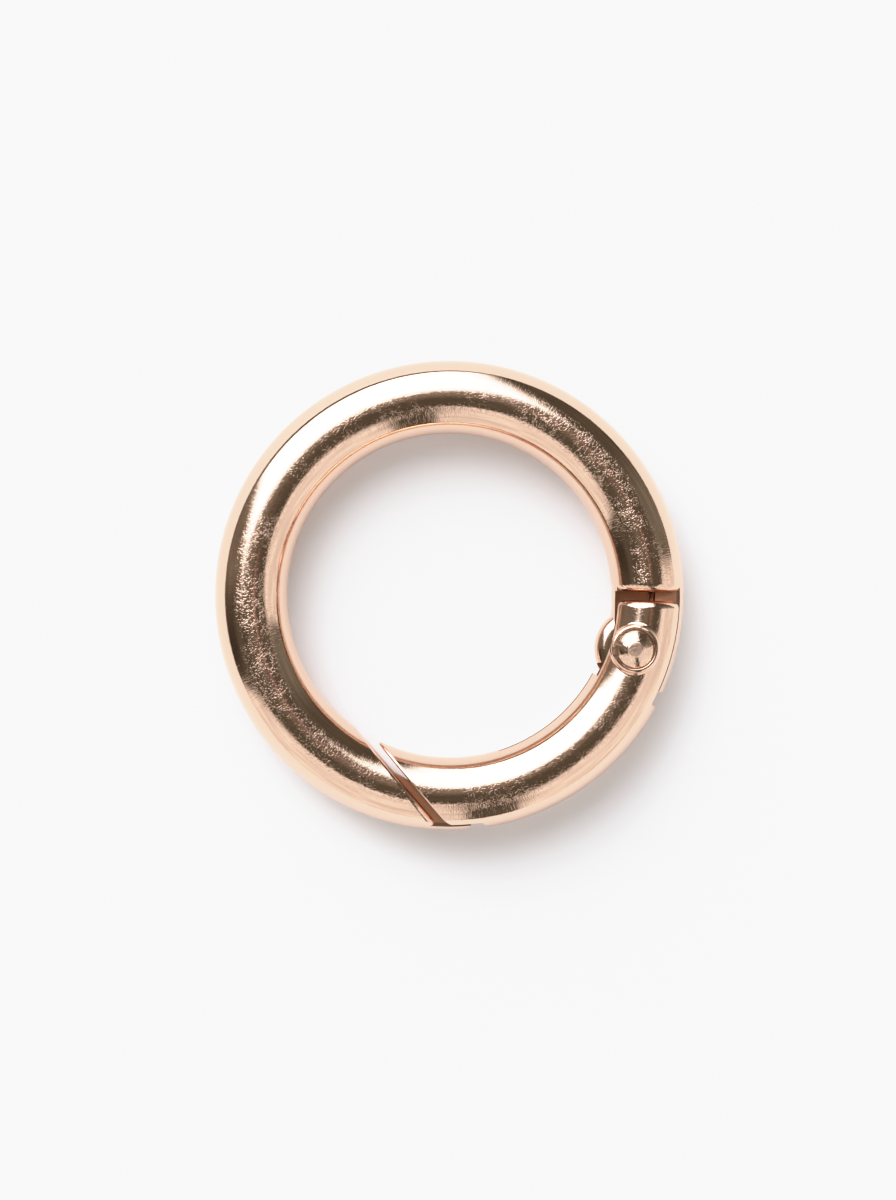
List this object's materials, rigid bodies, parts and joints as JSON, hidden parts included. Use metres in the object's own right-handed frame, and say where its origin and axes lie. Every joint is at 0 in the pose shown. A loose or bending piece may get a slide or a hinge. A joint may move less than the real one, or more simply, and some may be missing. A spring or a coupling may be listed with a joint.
{
  "type": "spring gate ring",
  "caption": "Round-section metal O-ring with a sprung gate that swings inwards on a riveted hinge, for joining straps, rings and cords.",
  "frame": {"origin": "centre of the ring, in its mid plane", "axes": "+Z along the ring's axis, which is also the hinge's direction; +X from the centre towards the hinge end of the fixed ring; the gate lies between -2 and -113 degrees, anticlockwise from +X"},
  "size_m": [0.032, 0.032, 0.0064],
  "materials": {
    "rose_gold_plate": "mirror-polished rose gold plating on die-cast zinc, with fine handling marks",
    "spring_steel": "drawn spring wire"
  },
  "bodies": {
    "ring": {"ring_body": "rose_gold_plate"},
    "swing_gate": {"gate": "rose_gold_plate", "hinge_rivet": "rose_gold_plate", "torsion_spring": "spring_steel"}
  },
  "joints": [
    {"name": "gate_hinge", "type": "hinge", "parent": "ring", "child": "swing_gate", "pos_m": [0.01254, -0.00363, 0], "axis": [0, 0, -1], "range_deg": [0, 45], "stiffness_Nm_per_rad": 0.014, "springref_deg": -8.59, "deforming": ["torsion_spring"]}
  ]
}
